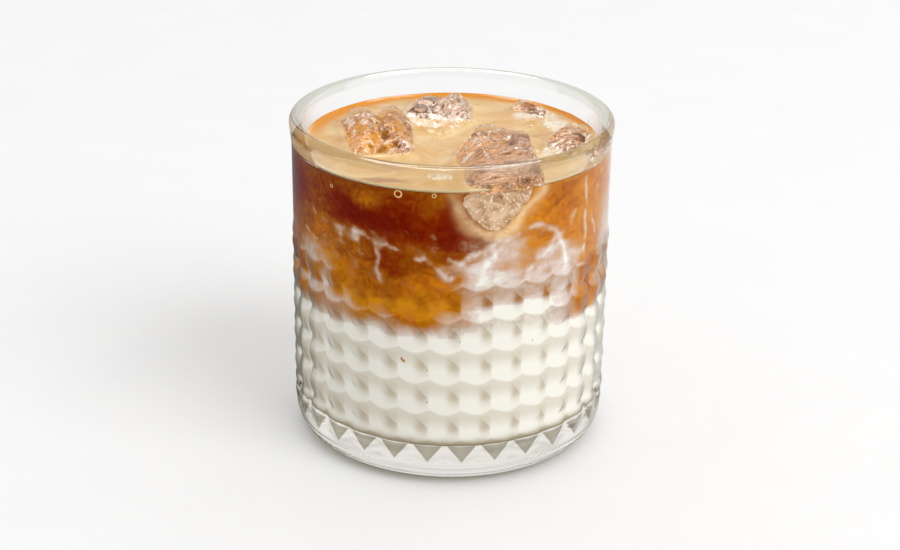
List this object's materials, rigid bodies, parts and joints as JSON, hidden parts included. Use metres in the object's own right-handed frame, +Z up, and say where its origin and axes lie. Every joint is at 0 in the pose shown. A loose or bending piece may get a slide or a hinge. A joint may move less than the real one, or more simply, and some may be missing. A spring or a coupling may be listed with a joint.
{
  "type": "iced latte in a glass tumbler",
  "caption": "Iced latte in a clear pressed glass tumbler with a studded wall: milk below, coffee above, a film of crema and chunks of ice at the surface.",
  "frame": {"origin": "on the table, on the axis of the glass, at the centre of its foot", "axes": "+Z up along the glass's axis; -Y faces the picture's camera; +X to the right"},
  "size_m": [0.084, 0.084, 0.087],
  "materials": {
    "clear_glass": "clear pressed glass, polished",
    "milk": "opaque cream-white liquid",
    "coffee": "amber to red-brown liquid marbled with milk",
    "crema": "glossy tan liquid film",
    "ice": "wet clear ice, cracked and frosted inside"
  },
  "bodies": {
    "root": {"glass": "clear_glass", "milk": "milk", "coffee": "coffee", "crema": "crema", "ice_left": "ice", "ice_back": "ice", "ice_front": "ice", "ice_right_back": "ice", "ice_right": "ice"}
  },
  "joints": []
}
